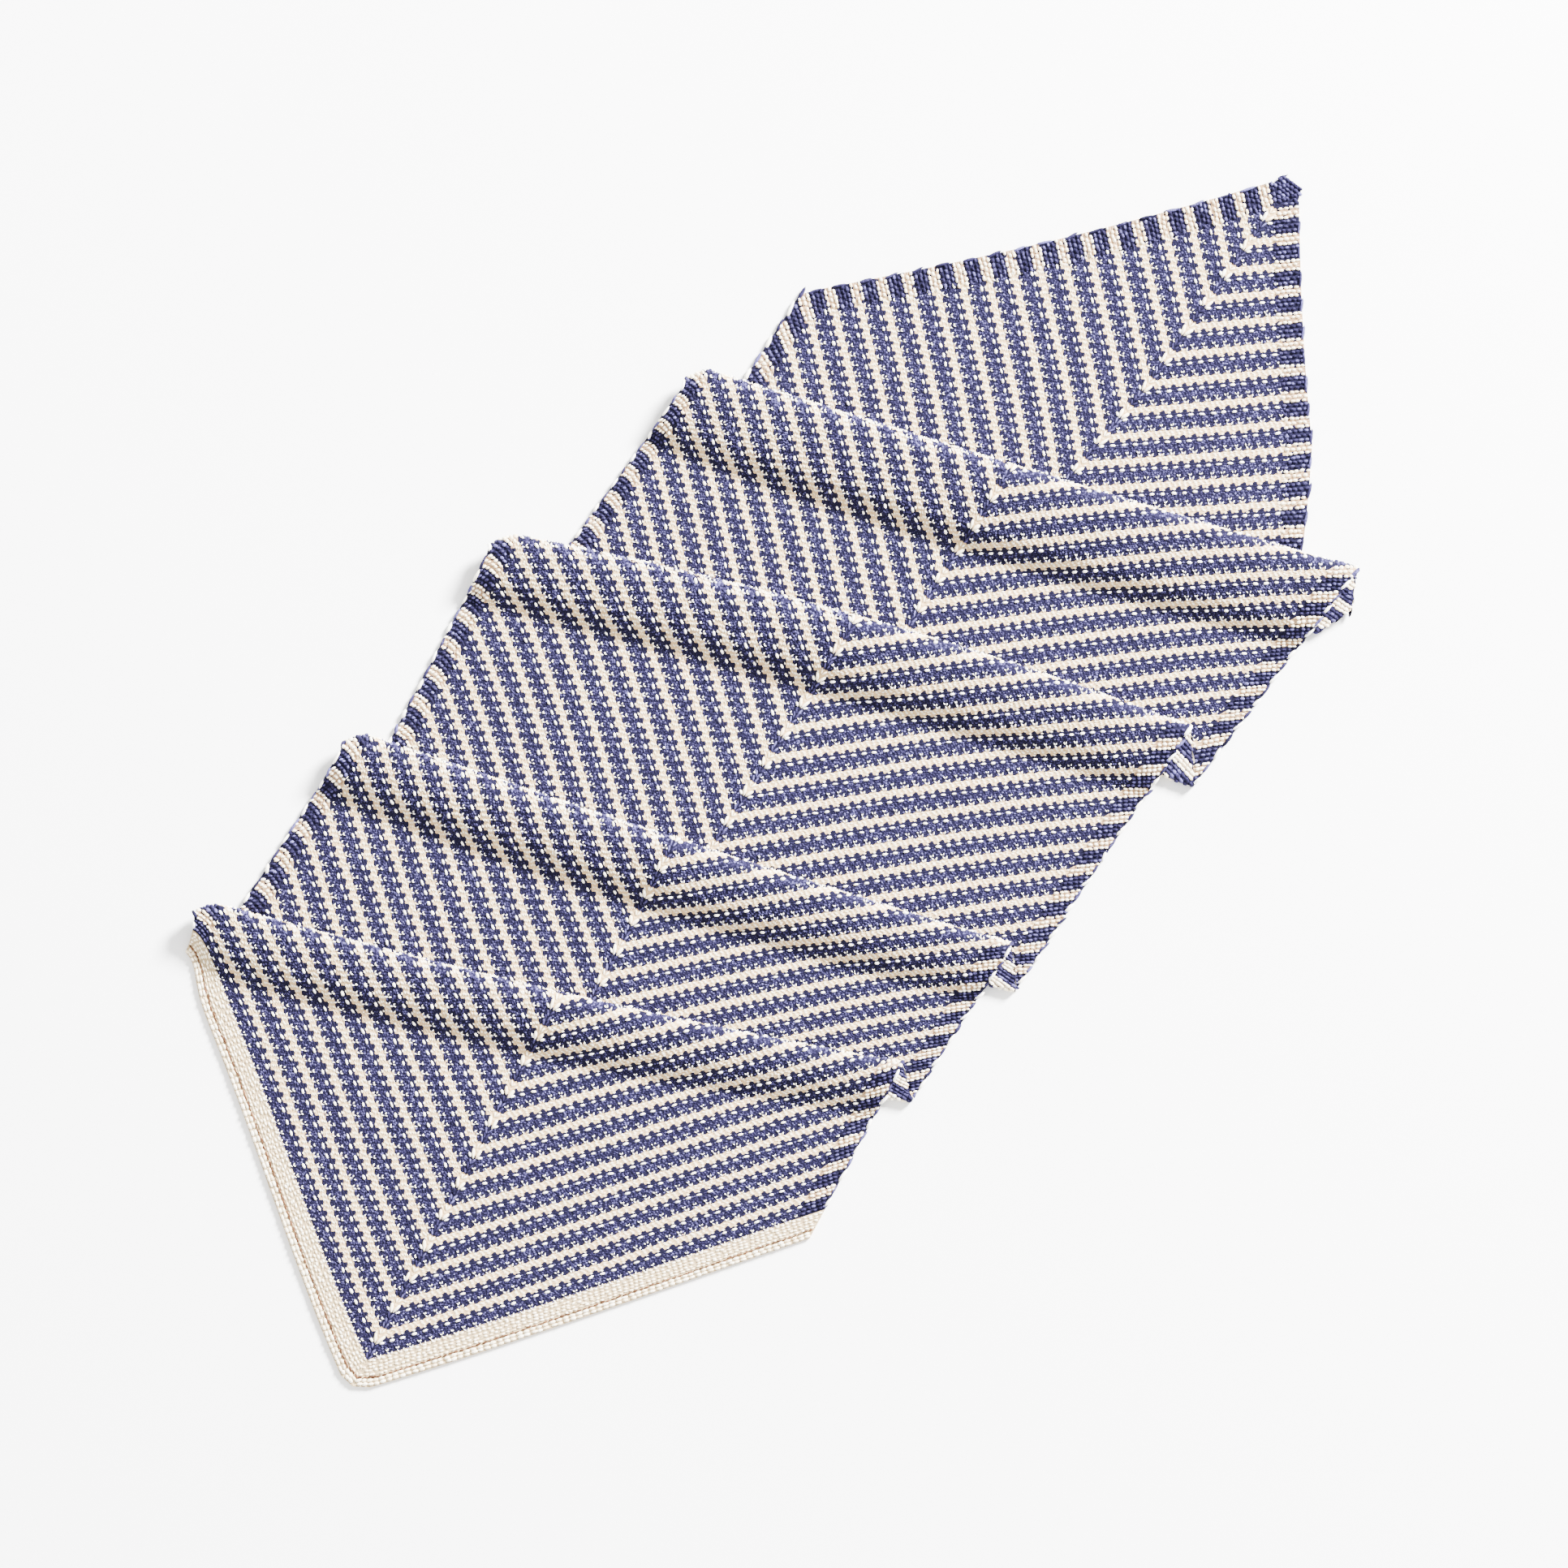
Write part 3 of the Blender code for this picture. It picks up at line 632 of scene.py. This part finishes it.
# %% [markdown]
# The chart repeats over one stripe of ten rows and one pair of stitches. D is a slipped strand,
# painted bright as a highlight, V and v are pairs of cream legs with the same painted highlight, # is
# a cream bump, . is two small blue ones and a space is a hole where the blue ground and its painted
# shade show. The first character is the column of the slipped strands, the second the one between.
# Slipping draws the rows unevenly together, so each row's place in the stripe is given too.

# %% The stitch chart, laid out over both wings
EVERY_STRIPE = np.arange(1, math.ceil(BORDER_START))
EVERY_PAIR = np.arange(math.ceil(HALF_WIDTH / SIN / PAIR))
CHART = ("D.", "..", "..", "..", "V.", ".v", "##", "##", "##", " #")
ROW_PLACES = (0.04, 0.12, 0.20, 0.28, 0.37, 0.51, 0.62, 0.69, 0.765, 0.89)


def chart_places(mark, side):
    """Counts and spreads of every place on one wing where the chart has the mark."""
    counts, spreads = [], []
    for row, marks in enumerate(CHART):
        for half, found in enumerate(marks):
            if found != mark:
                continue
            rows = EVERY_STRIPE + ROW_PLACES[row]
            rows = rows[(rows > WING_START + 0.05) & (rows < BORDER_START + 0.02)]
            # Every other row of bumps lies a quarter of a pair along.
            sway = 0.25 * (row % 2) if mark in ".#" else 0.0
            spread = (EVERY_PAIR + FIRST_PAIR + half / 2 + sway) * PAIR * SIN + 0 * rows[:, None]
            count = rows[:, None] + 0 * spread
            inside = spread < row_end(count, side, SELVEDGE) - 1.0
            counts.append(count[inside])
            spreads.append(spread[inside])
    return np.concatenate(counts), np.concatenate(spreads)


BLUE_APART = 1.0  # each of two blue bumps from the middle of their stitch
for side, word in SIDES.items():
    wing = word + "_wing_ground"
    counts, spreads = chart_places(".", side)
    counts = np.tile(counts, 2)
    spreads = np.concatenate([spreads - BLUE_APART, spreads + BLUE_APART])
    blue = stitches(word + "_blue_stitches", counts, spreads, side, (1.5, 1.3, 1.1), loose=0.7)
    finish_piece(blue, blue_yarn, goes_with=wing)
    cream = stitches(word + "_cream_stitches", *chart_places("#", side), side, (2.1, 1.15, 1.1),
                     loose=0.5)
    finish_piece(cream, cream_yarn, goes_with=wing)
    slip = stitches(word + "_slipped_strands", *chart_places("D", side), side, (2.75, 1.35, 1.7),
                    template=STRAND)
    finish_piece(slip, cream_yarn_painted_highlight, goes_with=wing)
    # A pair of legs that part towards the tip, and a wider pair a row later.
    for mark, name, apart, lean, size in (("V", "upper", 0.85, 0.55, (1.4, 0.7, 1.3)),
                                          ("v", "lower", 1.4, 0.5, (1.9, 0.75, 1.3))):
        counts, spreads = chart_places(mark, side)
        both = np.repeat([-1.0, 1.0], len(counts))
        counts, spreads = np.tile(counts, 2), np.tile(spreads, 2) + both * apart * SIN
        legs = stitches(f"{word}_{name}_legs", counts, spreads, side, size,
                        turn=math.pi / 2 + both * lean, template=LEG)
        # The legs take the same painted highlight as the slipped strands.
        finish_piece(legs, cream_yarn_painted_highlight, goes_with=wing)

# %% [markdown]
# The spine is plain knitting: fat pairs of legs that meet towards the pointed end, cream in the
# cream rows and blue in the blue ones. The last cream pair of each stripe is the fattest.

# %% Spine legs: each pair's place in its stripe, and how big it is
for word, material, steps in (("cream", cream_yarn, ((0.62, 0.75), (0.9, 1.35))),
                              ("blue", blue_yarn, ((0.13, 0.9), (0.28, 0.9), (0.44, 0.9)))):
    for number, (step, big) in enumerate(steps):
        rows = EVERY_STRIPE + step
        rows = rows[(rows > TAB_END + 0.3) & (rows < BORDER_START)]
        both = np.repeat([-1.0, 1.0], len(rows))
        counts = np.tile(rows, 2)
        spreads = np.full(len(counts), 1.7 * big)
        size = (3.9 * big, 1.15 * big, 1.6 * big)
        legs = stitches(f"spine_{word}_legs_{number}", counts, spreads, both, size, turn=-both * 0.3,
                        template=LOOP, raised=SPINE_RAISED, taper=0.25, plain=True)
        finish_piece(legs, material, goes_with="spine_ground")

# %% [markdown]
# The selvedges are garter stitch, four stitches wide: thick ridges of bumps, three blue and
# three cream to a stripe. Along the very edge the yarn is carried up in long slanting strands,
# which give the side its rope-like line.

# %% Selvedge bumps and edge strands
BLUE_RIDGES, CREAM_RIDGES = (0.02, 0.19, 0.36), (0.53, 0.69, 0.86)
STITCH = PAIR / 2
SELVEDGE_COLUMNS = 5  # every other ridge lies half a stitch along
ALONG_TIP, ALONG_SIDE = math.pi / 2, math.pi - CHEVRON  # the edge's angle from a row
EDGE_LEAN = 0.12  # how much more the carried strands slant
GARTERS = (("blue", blue_yarn, BLUE_RIDGES), ("cream", cream_yarn, CREAM_RIDGES))
# The carried yarn: at the tip blue lies on blue, and along the sides each covers the other.
# The cream carried strands take the slipped strands' painted highlight.
CARRIED = (("tip", blue_yarn, 0.3, True), ("blue", blue_yarn, 0.75, False),
           ("cream", cream_yarn_painted_highlight, 0.22, False))


def ridge_counts(ridges, start=TAB_END):
    """Counts of the ridges of every stripe, from the tab to the border."""
    counts = (EVERY_STRIPE[:, None] + np.array(ridges)).ravel()
    return counts[(counts > start) & (counts < BORDER_START - 0.03)]


for side, word in SIDES.items():
    edge = word + "_selvedge_ground"
    for colour, material, ridges in GARTERS:
        counts = ridge_counts(ridges)
        columns = np.arange(SELVEDGE_COLUMNS)[:, None] + 0.42 + 0.5 * (np.arange(len(counts)) % 2)
        spreads = row_end(counts, side) - columns * STITCH * SIN
        every = np.broadcast_to(counts, spreads.shape)
        inside = (spreads > SPINE_HALF - 1) & (spreads > row_end(every, side, SELVEDGE) - 2)
        bumps = stitches(f"{word}_selvedge_{colour}_bumps", every[inside], spreads[inside], side,
                         (2.35, 1.5, 1.9), template=STRAND, raised=SELVEDGE_RAISED, loose=0.5)
        finish_piece(bumps, material, goes_with=edge)
    for name, material, step, at_tip in CARRIED:
        counts = ridge_counts((step,))
        counts = counts[(row_end(counts, side) < HALF_WIDTH - 1) == at_tip]
        angle = ALONG_TIP if at_tip else ALONG_SIDE
        strands = stitches(f"{word}_{name}_edge_strands", counts, row_end(counts, side) - 0.4, side,
                           (7.4, 1.6, 2.6), turn=angle + EDGE_LEAN, template=LOOP,
                           raised=SELVEDGE_RAISED)
        finish_piece(strands, material, goes_with=edge)

# %% [markdown]
# At the right ends of the pleats the doubled layer turns its wrong side up. There the wrong side
# needs real garter bumps too, where it can be seen: where the cloth's right side faces down.

# %% Wrong-side bumps at the right ends of the pleats
SEEN_UNDER = 85.0  # how far in from the right edge the wrong side can be seen
FIRST_UNDER = 5.0  # the stripe count from where it is looked for


def faces_down(counts, spreads):
    """Where the right half's right side points at the floor, or nearly level."""
    laid = on_cloth(row_length(counts, spreads), spreads, np.ones(counts.shape))
    middle = on_cloth(row_length(counts, spreads), spreads, np.zeros(counts.shape))
    return (laid - middle)[..., 2] < 0.1


for colour, material, ridges in GARTERS:
    counts = ridge_counts(ridges, FIRST_UNDER)
    columns = np.arange(int(SEEN_UNDER / STITCH))[:, None] + 0.3 + 0.5 * (np.arange(len(counts)) % 2)
    spreads = row_end(counts, 1) - columns * STITCH * SIN
    every = np.broadcast_to(counts, spreads.shape)
    seen = faces_down(every, spreads)
    bumps = stitches(f"wrong_side_{colour}_bumps", every[seen], spreads[seen], 1, (2.9, 1.8, 1.2),
                     template=STRAND, under=True)
    finish_piece(bumps, material, goes_with="right_wing_ground")

# %% [markdown]
# The border is five ridges of small cream bumps, then a groove where the cloth was cast off, drawn
# as a thin strand of dark brown painted shade, then the cast-off's own chain of two rows of thick
# bumps. The tab is blue garter, with the yarn's cut end standing out of its corner.

# %% Border bumps, groove and chain
def border_row(count, pitch, shift=0.0):
    """Counts, spreads and sides along one row of the border, at a pitch along the row."""
    reach = np.arange(0.5 + shift, HALF_WIDTH / SIN / pitch) * pitch * SIN
    reach = reach[reach < HALF_WIDTH - 1.2]
    sides = np.repeat([-1.0, 1.0], len(reach))
    return np.full(len(sides), count), np.tile(reach, 2), sides


def border_stitches(name, rows, pitch, size, material, template=STRAND, loose=0.4):
    """Stitches along several rows of the border, every other row half a pitch along."""
    laid = [border_row(count, pitch, 0.5 * (i % 2)) for i, count in enumerate(rows)]
    counts, spreads, sides = (np.concatenate(part) for part in zip(*laid))
    piece = stitches(name, counts, spreads, sides, size, template=template, raised=BORDER_RAISED,
                     loose=loose, length_of=blunt_length)
    finish_piece(piece, material, goes_with="border_ground")


GROOVE = BORDER_END - 8.0 / STRIPE  # 8 mm in from the edge
CHAIN = [BORDER_END - 5.6 / STRIPE, BORDER_END - 2.2 / STRIPE]
CHAIN_PITCH = 5.6
border_stitches("border_bumps", np.linspace(BORDER_START + 0.09, GROOVE - 0.11, 5), STITCH,
                (2.0, 1.2, 1.3), cream_yarn, loose=0.7)
# A thin strand of painted shade lies in the groove.
border_stitches("border_groove_shade", [GROOVE], STITCH, (2.8, 0.95, 1.5), groove_shade_yarn)
border_stitches("border_chain", CHAIN, CHAIN_PITCH, (2.9, 1.75, 2.0), cream_yarn, LOOP)

# %% Tab bumps and the yarn's end
TAB_ROW, TAB_STITCH = 3.3, 4.4
along_tab, over_tab = np.arange(10.0, 32.0, TAB_ROW), np.arange(-13.2, 13.3, TAB_STITCH)
length, offset = np.meshgrid(along_tab, over_tab, indexing="ij")
offset = offset + TAB_STITCH / 2 * (np.arange(len(length)) % 2)[:, None]
inside = (stripes(length, np.abs(offset)) < TAB_END - 0.05) & (np.abs(offset) < TAB_HALF)
length, offset = length[inside], offset[inside]
bumps = stitches("tab_bumps", stripes(length, np.abs(offset)), np.abs(offset), np.sign(offset + 1e-6),
                 (1.7, 2.4, 1.8), template=STRAND, raised=TAB_RAISED, plain=True)
finish_piece(bumps, blue_yarn, goes_with="tab_ground")
end_length, end_offset = np.array([11.0, 10.0, 9.2, 12.0]), np.array([10.0, 10.6, 8.4, 9.2])
ends = stitches("yarn_end", stripes(end_length, end_offset), end_offset, -1.0, (4.2, 0.85, 1.6),
                turn=np.array([2.6, 2.3, 2.9, 2.2]), template=STRAND, taper=0.5, plain=True)
finish_piece(ends, blue_yarn, goes_with="tab_ground")

# %% [markdown]
# The photograph looks straight down on the wrap, which lies aslant on a sweep of white paper:
# matte and even, so it shows only the wrap's soft shadow. The camera hangs high above it.

# %% Camera and floor
FRAME_MM = 1391.0  # how much of the floor the picture is wide
FRAME_CENTRE = (23.05, -22.58)
ROLL = math.radians(37.9)
DISTANCE = 6.0
FLOOR_REACH = 30
camera = bpy.data.cameras.new("camera")
camera.sensor_width = 36.0
camera.lens = 36.0 * DISTANCE / (FRAME_MM * MM)
viewer = bpy.data.objects.new("camera", camera)
viewer.location = (FRAME_CENTRE[0] * MM, FRAME_CENTRE[1] * MM, DISTANCE)
viewer.rotation_euler = (0.0, 0.0, ROLL)
bpy.context.scene.collection.objects.link(viewer)
bpy.context.scene.camera = viewer

material, tree, shader = new_material("white_paper_sweep")
shader.inputs["Base Color"].default_value = linear("#FAFAFA")
shader.inputs["Sheen Weight"].default_value = 0.0
mesh = bpy.data.meshes.new("floor")
corners = [(x * FLOOR_REACH, y * FLOOR_REACH, 0) for x, y in ((-1, -1), (1, -1), (1, 1), (-1, 1))]
mesh.from_pydata(corners, [], [(0, 1, 2, 3)])
mesh.materials.append(material)
floor = bpy.data.objects.new("floor", mesh)
bpy.context.scene.collection.objects.link(floor)
print("camera at", tuple(viewer.location), "floor to", FLOOR_REACH, "m each way")

# %% Light: a large soft window beyond the tip, and a pale room
def soft_light(name, place, size, power):
    """An area light at a place, facing the wrap."""
    lamp = bpy.data.lights.new(name, "AREA")
    lamp.shape, lamp.size, lamp.energy = "DISK", size, power
    item = bpy.data.objects.new(name, lamp)
    item.location = place
    item.rotation_euler = (-Vector(place)).to_track_quat("-Z", "Y").to_euler()
    bpy.context.scene.collection.objects.link(item)


soft_light("window", (0.9, 7.0, 4.3), 2.4, 10000.0)
room = bpy.data.worlds.new("room")
room.use_nodes = True
room.node_tree.nodes["Background"].inputs["Color"].default_value = linear("#FFFFFF")
room.node_tree.nodes["Background"].inputs["Strength"].default_value = 2.6
bpy.context.scene.world = room
print("light", [item.name for item in bpy.data.lights], "and", room.name)
